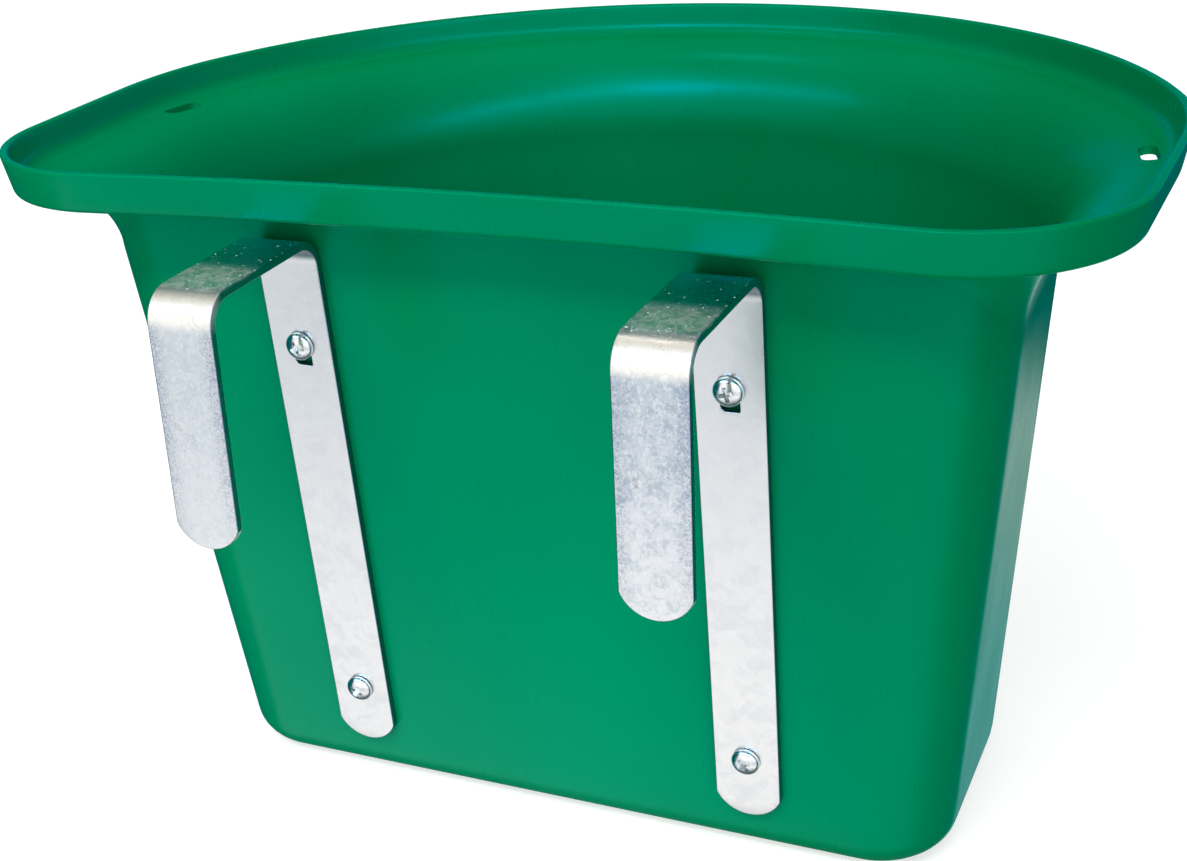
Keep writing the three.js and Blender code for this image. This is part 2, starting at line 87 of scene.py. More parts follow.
SCREW = dict(major=2.98, minor=2.42, pitch=1.0, length=16, tip=0.7, head_radius=5.4, head_height=3.7,
             rim_height=0.9, rim_round=0.35, recess_span=6.2, recess_depth=2.6, recess_width=1.5,
             recess_floor=2.2, stub=1, stub_inset=0.1)
THREAD_SLOPE = 2.4
THREAD_ROOT = 0.08
WASHER = dict(radius=9, bore=3.2, thickness=1.6, edge=0.2)
NUT = dict(across=10, height=4.3, chamfer=0.9, bore=3.05, collar_radius=4.45, collar_height=1.7,
           pocket=3.95, collar_round=0.6, seat_ease=0.1)
INSERT = dict(clearance=0.15, bore=2.9, height=1.5, edge=0.2)
SIDES = dict(drill=40, hole=40, head=72, shank=32, washer=64, nut=72, insert=56)
STEPS = dict(rim_slot_end=14, strap_end=32, slot_corner=6, strap_edge=3, bend=18, head_ease=4,
             head_dome=22, collar_ease=6)
STRAIGHT_STEP = 6
THREAD_ROWS = 10

FLANGE_BOTTOM = TUB_HEIGHT - LIP["height"]
DRAFT = math.atan2(BASE_PLAN["back"] - MOUTH_PLAN["back"], FLANGE_BOTTOM)


# Meshes

def new_object(name, data):
    thing = bpy.data.objects.new(name, data)
    bpy.context.scene.collection.objects.link(thing)
    return thing


def mesh_from(name, verts, faces):
    mesh = bpy.data.meshes.new(name)
    mesh.from_pydata([tuple(v) for v in verts], [], faces)
    mesh.validate()
    return mesh


def shade(mesh):
    """Smooth faces, with a sharp edge wherever two faces meet at more than the sharp angle."""
    work = bmesh.new()
    work.from_mesh(mesh)
    bmesh.ops.recalc_face_normals(work, faces=work.faces)
    for face in work.faces:
        face.smooth = True
    for edge in work.edges:
        edge.smooth = len(edge.link_faces) == 2 and edge.calc_face_angle(0) < SHARP_ANGLE
    work.to_mesh(mesh)
    work.free()


def combine(mesh, others, operation):
    """The boolean of a mesh with each of the others in turn."""
    piece = new_object("combined", mesh)
    cutters = [new_object("cutter", other) for other in others]
    for cutter in cutters:
        step = piece.modifiers.new("boolean", "BOOLEAN")
        step.operation = operation
        step.solver = "EXACT"
        step.object = cutter
    bpy.context.view_layer.update()
    shown = piece.evaluated_get(bpy.context.evaluated_depsgraph_get())
    result = bpy.data.meshes.new_from_object(shown)
    for spent in [piece, *cutters]:
        bpy.data.objects.remove(spent)
    return result


def revolve(section, sides):
    """Turns a closed section of (radius, height) points round Y. A point at radius 0 is one vertex."""
    verts, rings, faces = [], [], []
    for radius, height in section:
        if radius < ON_AXIS:
            rings.append([len(verts)] * sides)
            verts.append((0, height, 0))
            continue
        rings.append([len(verts) + k for k in range(sides)])
        for k in range(sides):
            turn = 2 * math.pi * k / sides
            verts.append((radius * math.sin(turn), height, radius * math.cos(turn)))
    for row in range(len(rings)):
        low, high = rings[row], rings[(row + 1) % len(rings)]
        if low[0] == low[1] and high[0] == high[1]:
            continue
        for k in range(sides):
            after = (k + 1) % sides
            corners = [low[k], low[after], high[after], high[k]]
            faces.append(list(dict.fromkeys(corners)))
    return mesh_from("revolved", verts, faces)


def arc_points(centre, radius, start, end, steps):
    return [
        (centre[0] + radius * math.cos(start + (end - start) * k / steps),
         centre[1] + radius * math.sin(start + (end - start) * k / steps))
        for k in range(steps + 1)
    ]


def prism(outline, low, high):
    """An upright prism over an outline in X and Y."""
    count = len(outline)
    verts = [(x, y, low) for x, y in outline] + [(x, y, high) for x, y in outline]
    faces = [list(range(count))[::-1], list(range(count, 2 * count))]
    for k in range(count):
        after = (k + 1) % count
        faces.append([k, after, count + after, count + k])
    return mesh_from("prism", verts, faces)


def capped_tube(name, rings):
    """Rings of points joined to their neighbours, with one flat face over each end."""
    count = len(rings[0])
    last = (len(rings) - 1) * count
    faces = []
    for row in range(len(rings) - 1):
        low, high = row * count, (row + 1) * count
        for k in range(count):
            after = (k + 1) % count
            faces.append([low + k, low + after, high + after, high + k])
    faces.append(list(range(count))[::-1])
    faces.append([last + k for k in range(count)])
    return mesh_from(name, [point for ring in rings for point in ring], faces)


# Plan of the tub

def front_arc(plan):
    rise = plan["front"] - plan["shoulder"]
    radius = (plan["half_width"] ** 2 + rise ** 2) / (2 * rise)
    centre = plan["front"] - radius
    return radius, centre, math.atan2(plan["shoulder"] - centre, plan["half_width"])


def cubic(a, b, c, d, t):
    s = 1 - t
    return a * s ** 3 + b * 3 * s * s * t + c * 3 * s * t * t + d * t ** 3


def quadratic(a, b, c, t):
    return a.lerp(b, t).lerp(b.lerp(c, t), t)


def half_plan(plan):
    at_back = plan["half_width"] - plan["side_taper"]
    back_middle = Vector((0, plan["back"] + plan["back_bow"]))
    back_end = Vector((at_back - plan["corner"], plan["back"]))
    back_handle = Vector((back_end.x / 2, back_middle.y))
    corner = back_end + (back_end - back_handle).normalized() * plan["corner"]
    shoulder = Vector((plan["half_width"], plan["shoulder"]))
    side = (shoulder - corner).normalized()
    side_start = corner + side * plan["corner"]
    side_end = shoulder - side * plan["blend"]
    radius, centre, angle = front_arc(plan)
    start = angle + plan["blend"] / radius

    def on_arc(t):
        turn = start + (math.pi / 2 - start) * t
        return Vector((radius * math.cos(turn), centre + radius * math.sin(turn)))

    arc_start = on_arc(0)
    first = back_end.lerp(corner, QUARTER_CIRCLE_SHARE)
    second = side_start.lerp(corner, QUARTER_CIRCLE_SHARE)
    stretches = [
        (lambda t: quadratic(back_middle, back_handle, back_end, t), PLAN_STEPS["back"]),
        (lambda t: cubic(back_end, first, second, side_start, t), PLAN_STEPS["corner"]),
        (lambda t: side_start.lerp(side_end, t), PLAN_STEPS["side"]),
        (lambda t: quadratic(side_end, shoulder, arc_start, t), PLAN_STEPS["shoulder"]),
        (on_arc, PLAN_STEPS["front"]),
    ]
    points = [back_middle]
    for curve, steps in stretches:
        points += [curve(k / steps) for k in range(1, steps + 1)]
    return points


def whole_plan(plan):
    right = half_plan(plan)
    points = right + [Vector((-p.x, p.y)) for p in reversed(right[1:-1])]
    normals = []
    for k, _ in enumerate(points):
        along = points[(k + 1) % len(points)] - points[k - 1]
        normals.append(Vector((along.y, -along.x)).normalized())
    return points, normals


def smooth_share(share):
    share = min(max(share, 0), 1)
    return share * share * (3 - 2 * share)


def flare_heights():
    """The flare is low along the back, and grows round each back corner."""
    half = sum(PLAN_STEPS.values())
    right = [
        BACK_FLARE_HEIGHT + (FLARE_HEIGHT - BACK_FLARE_HEIGHT)
        * smooth_share((k - PLAN_STEPS["back"]) / PLAN_STEPS["corner"])
        for k in range(half + 1)
    ]
    return right + right[1:-1][::-1]


# Tub

def tub_rings():
    """Rings from the middle of the base's underside, up the outside, over the lip and down the inside."""
    base, _ = whole_plan(BASE_PLAN)
    mouth, mouth_normals = whole_plan(MOUTH_PLAN)
    rim, rim_normals = whole_plan(RIM_PLAN)
    heights = flare_heights()
    columns = range(len(base))
    inner_radius = BASE_RADIUS - TUB_WALL
    quarter = math.pi / 2

    def wall(k, height, inset):
        return base[k].lerp(mouth[k], height / FLANGE_BOTTOM) - mouth_normals[k] * inset

    def lip(k, height, inset):
        lean = LIP["lean"] * (TUB_HEIGHT - height) / LIP["height"]
        return rim[k] - rim_normals[k] * (inset + lean)

    feet, outward, reach = [], [], []
    for k in columns:
        foot = wall(k, FLANGE_BOTTOM - heights[k], 0)
        out = lip(k, FLANGE_BOTTOM, 0) - foot
        reach.append(min(heights[k], out.length - LIP["thickness"] - LIP["inner_foot"]))
        feet.append(foot)
        outward.append(out.normalized())

    def flare(angle, skin):
        ring = []
        for k in columns:
            along = reach[k] * (1 - math.cos(angle)) - skin * math.cos(angle)
            height = FLANGE_BOTTOM - heights[k] + (heights[k] + skin) * math.sin(angle)
            place = feet[k] + outward[k] * along
            ring.append((place.x, place.y, height))
        return ring

    def level(place, height, inset):
        spots = [place(k, height, inset) for k in columns]
        return [(p.x, p.y, height) for p in spots]

    def drafted(share, skin):
        ring = []
        for k in columns:
            height = BASE_RADIUS + (FLANGE_BOTTOM - heights[k] - BASE_RADIUS) * share
            place = wall(k, height, skin)
            ring.append((place.x, place.y, height))
        return ring

    rings = []
    for step in range(SECTION_STEPS["fillet"] + 1):
        angle = quarter * step / SECTION_STEPS["fillet"]
        rings.append(level(wall, BASE_RADIUS * (1 - math.cos(angle)), BASE_RADIUS * (1 - math.sin(angle))))
    for step in range(1, SECTION_STEPS["wall"]):
        rings.append(drafted(step / SECTION_STEPS["wall"], 0))
    for step in range(SECTION_STEPS["flare"] + 1):
        rings.append(flare(quarter * step / SECTION_STEPS["flare"], 0))
    for step in range(SECTION_STEPS["foot"] + 1):
        angle = quarter * step / SECTION_STEPS["foot"]
        height = FLANGE_BOTTOM + LIP["outer_foot"] * (1 - math.cos(angle))
        rings.append(level(lip, height, LIP["outer_foot"] * (1 - math.sin(angle))))
    low = FLANGE_BOTTOM + LIP["outer_foot"]
    high = TUB_HEIGHT - LIP["edge"]
    for step in range(1, SECTION_STEPS["lip"]):
        rings.append(level(lip, low + (high - low) * step / SECTION_STEPS["lip"], 0))
    for step in range(SECTION_STEPS["edge"] + 1):
        angle = quarter * step / SECTION_STEPS["edge"]
        rings.append(level(lip, high + LIP["edge"] * math.sin(angle), LIP["edge"] * (1 - math.cos(angle))))
    for step in range(SECTION_STEPS["edge"] + 1):
        angle = quarter * step / SECTION_STEPS["edge"]
        inset = LIP["thickness"] - LIP["edge"] * (1 - math.sin(angle))
        rings.append(level(lip, high + LIP["edge"] * math.cos(angle), inset))
    low = FLANGE_BOTTOM + TUB_WALL + LIP["inner_foot"]
    for step in range(SECTION_STEPS["lip"] - 1, 0, -1):
        rings.append(level(lip, low + (high - low) * step / SECTION_STEPS["lip"], LIP["thickness"]))
    for step in range(SECTION_STEPS["foot"] + 1):
        angle = quarter * step / SECTION_STEPS["foot"]
        inset = LIP["thickness"] + LIP["inner_foot"] * (1 - math.cos(angle))
        height = FLANGE_BOTTOM + TUB_WALL + LIP["inner_foot"] * (1 - math.sin(angle))
        rings.append(level(lip, height, inset))
    for step in range(SECTION_STEPS["flare"], -1, -1):
        rings.append(flare(quarter * step / SECTION_STEPS["flare"], TUB_WALL))
    for step in range(SECTION_STEPS["wall"] - 1, 0, -1):
        rings.append(drafted(step / SECTION_STEPS["wall"], TUB_WALL))
    for step in range(SECTION_STEPS["fillet"], -1, -1):
        angle = quarter * step / SECTION_STEPS["fillet"]
        inset = TUB_WALL + inner_radius * (1 - math.sin(angle))
        rings.append(level(wall, TUB_WALL + inner_radius * (1 - math.cos(angle)), inset))
    return rings


def rim_slot_cutter(side):
    radius, centre, bearing = front_arc(RIM_PLAN)
    middle = radius - RIM_SLOT["setback"]
    half = RIM_SLOT["width"] / 2
    straight = RIM_SLOT["length"] / 2 - half
    outline = arc_points((0, straight), half, 0, math.pi, STEPS["rim_slot_end"])
    outline += arc_points((0, -straight), half, math.pi, 2 * math.pi, STEPS["rim_slot_end"])
    cutter = prism(outline, FLANGE_BOTTOM - OVERRUN, TUB_HEIGHT + OVERRUN)
    place = Vector((side * middle * math.cos(bearing), centre + middle * math.sin(bearing), 0))
    cutter.transform(Matrix.Translation(place) @ Matrix.Rotation(side * bearing, 4, "Z"))
    return cutter


def wall_back(height):
    return BASE_PLAN["back"] - height * math.tan(DRAFT)


def screw_place(side, drop):
    return Vector((
        side * HOOK["spacing"] / 2,
        wall_back(HOOK["top"]) + drop * math.sin(DRAFT),
        HOOK["top"] - drop * math.cos(DRAFT),
    ))


def to_wall(place):
    """Stands a piece whose axis is +Y square on the back wall, pointing away from the tub."""
    return Matrix.Translation(place) @ Matrix.Rotation(math.pi + DRAFT, 4, "X")


STATIONS = [
    ("upper_left", -1, UPPER_DROP, math.radians(24)),
    ("upper_right", 1, UPPER_DROP, math.radians(14)),
    ("lower_left", -1, LOWER_DROP, math.radians(-31)),
    ("lower_right", 1, LOWER_DROP, math.radians(38)),
]


def build_tub():
    cutters = [rim_slot_cutter(-1), rim_slot_cutter(1)]
    for _, side, drop, _ in STATIONS:
        drill = revolve([
            (0, -OVERRUN), (TUB_HOLE_RADIUS, -OVERRUN), (TUB_HOLE_RADIUS, OVERRUN), (0, OVERRUN),
        ], SIDES["drill"])
        drill.transform(to_wall(screw_place(side, drop)))
        cutters.append(drill)
    return combine(capped_tube("shell", tub_rings()), cutters, "DIFFERENCE")


# Hooks

def hook_corners():
    """Corners of the bar's middle line in Y and Z: foot, rear bend, outer bend and tip of the leg."""
    middle = HOOK["thickness"] / 2
    level = HOOK["top"] - middle
    face = wall_back(HOOK["top"]) - (SEAT_GAP + HOOK["thickness"]) / math.cos(DRAFT)
    at_wall = face + middle / math.cos(DRAFT)
    at_leg = face - HOOK["reach"] + middle / math.cos(HOOK["leg_splay"])
    foot = Vector((
        at_wall + HOOK["wall_drop"] * math.sin(DRAFT),
        HOOK["top"] - HOOK["wall_drop"] * math.cos(DRAFT),
    ))
    tip = Vector((
        at_leg - HOOK["leg_drop"] * math.sin(HOOK["leg_splay"]),
        HOOK["top"] - HOOK["leg_drop"] * math.cos(HOOK["leg_splay"]),
    ))
    rear = Vector((at_wall + middle * math.tan(DRAFT), level))
    fore = Vector((at_leg - middle * math.tan(HOOK["leg_splay"]), level))
    return [foot, rear, fore, tip]


def hook_path():
    """Stretches of the middle line as (length before, length, start, heading, turn per millimetre)."""
    corners = hook_corners()
    bend = HOOK["bend"] + HOOK["thickness"] / 2
    stretches, before, start = [], 0, corners[0]
    for k in (1, 2):
        arriving = (corners[k] - corners[k - 1]).normalized()
        leaving = (corners[k + 1] - corners[k]).normalized()
        turn = math.atan2(arriving.x * leaving.y - arriving.y * leaving.x, arriving.dot(leaving))
        cut = bend * math.tan(abs(turn) / 2)
        end = corners[k] - arriving * cut
        length = (end - start).length
        stretches.append((before, length, start, arriving, 0))
        before += length
        arc = bend * abs(turn)
        stretches.append((before, arc, end, arriving, turn / arc))
        before += arc
        start = corners[k] + leaving * cut
    stretches.append((before, (corners[3] - start).length, start, leaving, 0))
    return stretches


def on_path(stretches, distance):
    """The middle line's point and heading at a distance from the foot."""
    before, _, start, heading, rate = next(
        (s for s in stretches if distance <= s[0] + s[1]), stretches[-1])
    along = distance - before
    if rate == 0:
        return start + heading * along, heading
    turn = rate * along
    inward = Vector((-heading.y, heading.x))
    point = start + heading * (math.sin(turn) / rate) + inward * ((1 - math.cos(turn)) / rate)
    return point, heading * math.cos(turn) + inward * math.sin(turn)


def end_arc(tip, way):
    """A rounded end, drawn from one edge of the strap to the other."""
    half, radius = HOOK["width"] / 2, HOOK["end_radius"]
    spread = math.asin(half / radius)
    steps = STEPS["strap_end"]
    points = []
    for k in range(steps + 1):
        turn = -spread + 2 * spread * k / steps
        points.append((tip + way * radius * (1 - math.cos(turn)), radius * math.sin(turn)))
    return points


def rounded_slot(centre):
    """The strap's slot, nearly square at its corners apart from one that the punch has rounded."""
    half = STRAP_SLOT["width"] / 2
    low, high = centre - STRAP_SLOT["below"], centre + STRAP_SLOT["above"]
    quarter = math.pi / 2
    points = []
    corners = [
        ((high, half), STRAP_SLOT["corner"], (-1, -1), 0),
        ((low, half), STRAP_SLOT["corner"], (1, -1), 1),
        ((low, -half), STRAP_SLOT["worn_corner"], (1, 1), 2),
        ((high, -half), STRAP_SLOT["corner"], (-1, 1), 3),
    ]
    for (s, w), radius, (ds, dw), turn in corners:
        middle = (s + ds * radius, w + dw * radius)
        points += arc_points(middle, radius, turn * quarter, (turn + 1) * quarter, STEPS["slot_corner"])
    return points


def flat_strap(length):
    """The strap before it is bent: length along X, width along Y, with its holes and eased edges."""
    shift = (SEAT_GAP + HOOK["thickness"] / 2) * math.tan(DRAFT)
    outline = end_arc(0, 1) + end_arc(length, -1)[::-1]
    upper = HOOK["wall_drop"] - UPPER_DROP - shift
    lower = HOOK["wall_drop"] - LOWER_DROP - shift
    hole = arc_points((lower, 0), STRAP_HOLE_RADIUS, 0, 2 * math.pi, SIDES["hole"])[:-1]
    curve = bpy.data.curves.new("strap", "CURVE")
    curve.dimensions = "2D"
    curve.fill_mode = "BOTH"
    curve.extrude = HOOK["thickness"] / 2 - HOOK["edge"]
    curve.bevel_depth = HOOK["edge"]
    curve.bevel_resolution = STEPS["strap_edge"]
    curve.offset = -HOOK["edge"]
    for points in (outline, rounded_slot(upper), hole):
        spline = curve.splines.new("POLY")
        spline.points.add(len(points) - 1)
        spline.use_cyclic_u = True
        for k, (s, w) in enumerate(points):
            spline.points[k].co = (s, w, 0, 1)
    bar = new_object("flat_strap", curve)
    bpy.context.view_layer.update()
    mesh = bpy.data.meshes.new_from_object(bar.evaluated_get(bpy.context.evaluated_depsgraph_get()))
    bpy.data.objects.remove(bar)
    return mesh


def build_strap(side):
    """The flat strap, cut into short lengths and laid along the bent middle line."""
    stretches = hook_path()
    length = stretches[-1][0] + stretches[-1][1]
    mesh = flat_strap(length)
    work = bmesh.new()
    work.from_mesh(mesh)
    bmesh.ops.remove_doubles(work, verts=work.verts, dist=WELD_DISTANCE)
    cuts = []
    for before, span, _, _, rate in stretches:
        steps = STEPS["bend"] if rate else max(2, round(span / STRAIGHT_STEP))
        cuts += [before + span * k / steps for k in range(steps)]
    for distance in cuts[1:]:
        parts = [*work.verts, *work.edges, *work.faces]
        bmesh.ops.bisect_plane(work, geom=parts, dist=CUT_TOLERANCE,
                               plane_co=(distance, 0, 0), plane_no=(1, 0, 0))
    for vert in work.verts:
        distance, across, lift = vert.co
        point, heading = on_path(stretches, distance)
        place = point + Vector((-heading.y, heading.x)) * lift
        vert.co = (across + side * HOOK["spacing"] / 2, place.x, place.y)
    work.to_mesh(mesh)
    work.free()
    return mesh


# Fasteners, with the back wall's outer face at zero and +Y pointing away from the tub

HEAD_SEAT = SEAT_GAP + HOOK["thickness"] + SEAT_GAP
WASHER_SEAT = -TUB_WALL * math.cos(DRAFT) - SEAT_GAP
NUT_SEAT = WASHER_SEAT - WASHER["thickness"] - SEAT_GAP


def recess_wing(turn):
    top, floor = SCREW["head_height"], SCREW["head_height"] - SCREW["recess_depth"]
    widen = (SCREW["recess_span"] - SCREW["recess_floor"]) / 2 / SCREW["recess_depth"]
    narrow, wide = SCREW["recess_floor"] / 2, SCREW["recess_span"] / 2 + OVERRUN * widen
    outline = [(-narrow, floor), (narrow, floor), (wide, top + OVERRUN), (-wide, top + OVERRUN)]
    wing = prism(outline, -SCREW["recess_width"] / 2, SCREW["recess_width"] / 2)
    wing.transform(Matrix.Rotation(turn, 4, "Y"))
    return wing


def screw_head():
    radius, rim, top = SCREW["head_radius"], SCREW["rim_height"], SCREW["head_height"]
    ease, stub, steps = SCREW["rim_round"], SCREW["minor"] - SCREW["stub_inset"], STEPS["head_dome"]
    section = [(0, -SCREW["stub"]), (stub, -SCREW["stub"]), (stub, 0), (radius - ease, 0)]
    section += arc_points((radius - ease, ease), ease, -math.pi / 2, 0, STEPS["head_ease"])[1:]
    for k in range(steps + 1):
        turn = math.pi / 2 * k / steps
        section.append((radius * math.cos(turn), rim + (top - rim) * math.sin(turn)))
    section[-1] = (0, top)
    head = revolve(section, SIDES["head"])
    return combine(head, [recess_wing(0), recess_wing(math.pi / 2)], "DIFFERENCE")


def thread_radius(height, turn):
    """A V thread: the radius falls and rises once for each pitch, and runs out at the tip."""
    phase = (height / SCREW["pitch"] - turn / (2 * math.pi)) % 1
    ridge = min(1, max(0, THREAD_SLOPE * abs(phase - 0.5) - THREAD_ROOT))
    radius = SCREW["minor"] + (SCREW["major"] - SCREW["minor"]) * ridge
    past_tip = height + SCREW["length"]
    return min(radius, SCREW["major"] - SCREW["tip"] + past_tip)


def screw_shank():
    sides = SIDES["shank"]
    rows = int(SCREW["length"] / SCREW["pitch"] * THREAD_ROWS)
    rings = []
    for row in range(rows + 1):
        height = -SCREW["length"] + SCREW["length"] * row / rows
        ring = []
        for k in range(sides):
            turn = 2 * math.pi * k / sides
            radius = thread_radius(height, turn)
            ring.append((radius * math.sin(turn), height, radius * math.cos(turn)))
        rings.append(ring)
    return capped_tube("shank", rings)


def build_screw():
    """The head and the shank are one closed body."""
    return combine(screw_head(), [screw_shank()], "UNION")


def build_washer():
    radius, bore, low, edge = WASHER["radius"], WASHER["bore"], -WASHER["thickness"], WASHER["edge"]
    return revolve([
        (bore, low), (radius - edge, low), (radius, low + edge), (radius, -edge), (radius - edge, 0),
        (bore + edge, 0), (bore, -edge),
    ], SIDES["washer"])


def build_nut():
    """A hexagon nut with turned faces, and a round collar with a pocket for the nylon ring."""
    flat, base = NUT["across"] / 2, -NUT["height"]
    corner = flat / math.cos(math.pi / 6)
    outline = [(corner * math.sin(math.pi / 3 * k), corner * math.cos(math.pi / 3 * k)) for k in range(6)]
    hexagon = prism(outline, base, 0)
    hexagon.transform(Matrix.Rotation(-math.pi / 2, 4, "X"))
    # The next two moves cancel out. They stay because the boolean's mesh depends on the
    # rounding they leave.
    hexagon.transform(Matrix.Translation((0, base, 0)))
    top = max(v.co.y for v in hexagon.vertices)
    hexagon.transform(Matrix.Translation((0, -top, 0)))
    turned = revolve([
        (0, base), (flat, base), (corner, base + NUT["chamfer"]), (corner, -NUT["chamfer"] / 2),
        (flat + NUT["seat_ease"], 0), (0, 0),
    ], SIDES["nut"])
    end, round_off = base - NUT["collar_height"], NUT["collar_round"]
    centre = (NUT["collar_radius"] - round_off, end + round_off)
    edge = arc_points(centre, round_off, -math.pi / 2, 0, STEPS["collar_ease"])
    collar = revolve([(0, end), *edge, (NUT["collar_radius"], base / 2), (0, base / 2)], SIDES["nut"])
    bore = revolve([
        (0, end - OVERRUN), (NUT["pocket"], end - OVERRUN), (NUT["pocket"], base),
        (NUT["bore"], base), (NUT["bore"], OVERRUN), (0, OVERRUN),
    ], SIDES["nut"])
    body = combine(hexagon, [turned], "INTERSECT")
    body = combine(body, [collar], "UNION")
    return combine(body, [bore], "DIFFERENCE")


def build_insert():
    radius, top = NUT["pocket"] - INSERT["clearance"], -NUT["height"] - INSERT["clearance"]
    bore, height, edge = INSERT["bore"], INSERT["height"], INSERT["edge"]
    return revolve([
        (bore, edge + top - height), (bore + edge, top - height), (radius - edge, top - height),
        (radius, edge + top - height), (radius, top), (bore, top),
    ], SIDES["insert"])


# Materials

LEG_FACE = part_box("hook_strap_left")[0].y
# GREEN: plain is the moulded green; low is a lighter green for random drift and for painted bounce light
# low down; right is painted shade towards the right end; highlight tints the gloss.
GREEN = dict(plain=(0.0, 0.152, 0.045), low=(0.0, 0.205, 0.083), right=(0.0, 0.115, 0.026),
             highlight=(0.0, 0.9, 1.0))
# ZINC: foot and top paint reflection and shade by height; the stain colour also paints shade high on the
# leg; bend and band are a painted highlight and painted reflection round the bend; the blue run colour and
# film are painted reflections on the run; cut is dark cut steel with painted shade.
ZINC = dict(foot=(0.85, 0.85, 0.85), top=(0.71, 0.73, 0.75), cloud=(0.68, 0.69, 0.73),
            leg=(0.87, 0.88, 0.89), stain_and_painted_shade=(0.47, 0.55, 0.62), bright=(0.92, 0.93, 0.95),
            dark=(0.25, 0.30, 0.41), scratch=(0.34, 0.34, 0.32), bend=(0.84, 0.78, 0.68),
            band=(0.56, 0.50, 0.42), run_reflection_blue=(0.52, 0.78, 0.96), film=(0.56, 0.41, 0.20),
            fleck=(0.70, 0.83, 0.81), cut=(0.20, 0.25, 0.32))
BEND_HEIGHTS = (0.228, 0.236)


class Nodes:
    """Short calls for the nodes of one material or world. Lengths are in metres."""

    def __init__(self, owner, coordinates="Object"):
        owner.use_nodes = True
        self.owner = owner
        self.tree = owner.node_tree
        self.place = self.add("ShaderNodeTexCoord").outputs[coordinates]

    def add(self, kind, **settings):
        node = self.tree.nodes.new(kind)
        for name, value in settings.items():
            setattr(node, name, value)
        return node

    def link(self, source, target):
        self.tree.links.new(source, target)

    def along(self, axis):
        """One coordinate of the place."""
        node = self.add("ShaderNodeSeparateXYZ")
        self.link(self.place, node.inputs[0])
        return node.outputs[axis]

    def stretched(self, scale):
        node = self.add("ShaderNodeMapping")
        node.inputs["Scale"].default_value = scale
        self.link(self.place, node.inputs["Vector"])
        return node.outputs["Vector"]

    def noise(self, scale, detail=3.0, rough=0.5, vector=None, warp=0.0):
        node = self.add("ShaderNodeTexNoise")
        node.inputs["Scale"].default_value = scale
        node.inputs["Detail"].default_value = detail
        node.inputs["Roughness"].default_value = rough
        node.inputs["Distortion"].default_value = warp
        self.link(vector or self.place, node.inputs["Vector"])
        return node.outputs["Fac"]

    def dots(self, scale, radius, share):
        """Round dots, one in a share of the cells, with their radius in cell widths."""
        soft_edge, share_step = 0.6, 0.02
        node = self.add("ShaderNodeTexVoronoi")
        node.inputs["Scale"].default_value = scale
        self.link(self.place, node.inputs["Vector"])
        pick = self.add("ShaderNodeSeparateColor")
        self.link(node.outputs["Color"], pick.inputs["Color"])
        chosen = self.remap(pick.outputs["Red"], share, share + share_step, 1, 0)
        return self.product(self.remap(node.outputs["Distance"], radius * soft_edge, radius, 1, 0), chosen)

    def remap(self, source, low, high, to_low, to_high):
        node = self.add("ShaderNodeMapRange")
        node.interpolation_type = "SMOOTHSTEP"
        for name, value in (("From Min", low), ("From Max", high), ("To Min", to_low), ("To Max", to_high)):
            node.inputs[name].default_value = value
        self.link(source, node.inputs["Value"])
        return node.outputs["Result"]

    def band(self, source, rise, fall):
        """1 between a rise and a fall of the source, each given as its start and end, and 0 outside."""
        return self.product(self.remap(source, *rise, 0, 1), self.remap(source, *fall, 1, 0))

    def math(self, operation, *values):
        node = self.add("ShaderNodeMath", operation=operation)
        for socket, value in zip(node.inputs, values):
            if isinstance(value, (int, float)):
                socket.default_value = value
            else:
                self.link(value, socket)
        return node.outputs[0]

    def product(self, first, second):
        return self.math("MULTIPLY", first, second)

    def lines(self, source, width, strength):
        """Thin lines where a noise passes its middle value."""
        middle = 0.5
        off_line = self.math("ABSOLUTE", self.math("SUBTRACT", source, middle))
        return self.remap(off_line, 0.0, width, strength, 0)

    def ramp(self, source, stops):
        """Colours along a value between -1 and 1, given as (value, colour) stops."""
        spread = self.add("ShaderNodeMapRange")
        spread.inputs["From Min"].default_value = -1
        self.link(source, spread.inputs["Value"])
        node = self.add("ShaderNodeValToRGB")
        bar = node.color_ramp.elements
        bar.remove(bar[1])
        for k, (value, colour) in enumerate(stops):
            stop = bar[0] if k == 0 else bar.new((value + 1) / 2)
            stop.position = (value + 1) / 2
            stop.color = (*colour, 1)
        self.link(spread.outputs["Result"], node.inputs["Fac"])
        return node.outputs["Color"]

    def mix(self, share, first, second):
        node = self.add("ShaderNodeMix", data_type="RGBA")
        self.link(share, node.inputs["Factor"])
        for socket, value in ((node.inputs[6], first), (node.inputs[7], second)):
            if isinstance(value, tuple):
                socket.default_value = (*value, 1)
            else:
                self.link(value, socket)
        return node.outputs[2]

    def bump(self, height, distance, strength=1.0, after=None):
        node = self.add("ShaderNodeBump")
        node.inputs["Distance"].default_value = distance
        node.inputs["Strength"].default_value = strength
        self.link(height, node.inputs["Height"])
        if after is not None:
            self.link(after, node.inputs["Normal"])
        return node.outputs["Normal"]

    def set(self, **values):
        shader = self.tree.nodes["Principled BSDF"]
        for name, value in values.items():
            socket = shader.inputs[name.replace("_", " ")]
            if isinstance(value, tuple):
                socket.default_value = (*value, 1)
            elif isinstance(value, (int, float)):
                socket.default_value = value
            else:
                self.link(value, socket)


def new_material(name):
    return Nodes(bpy.data.materials.new(name))


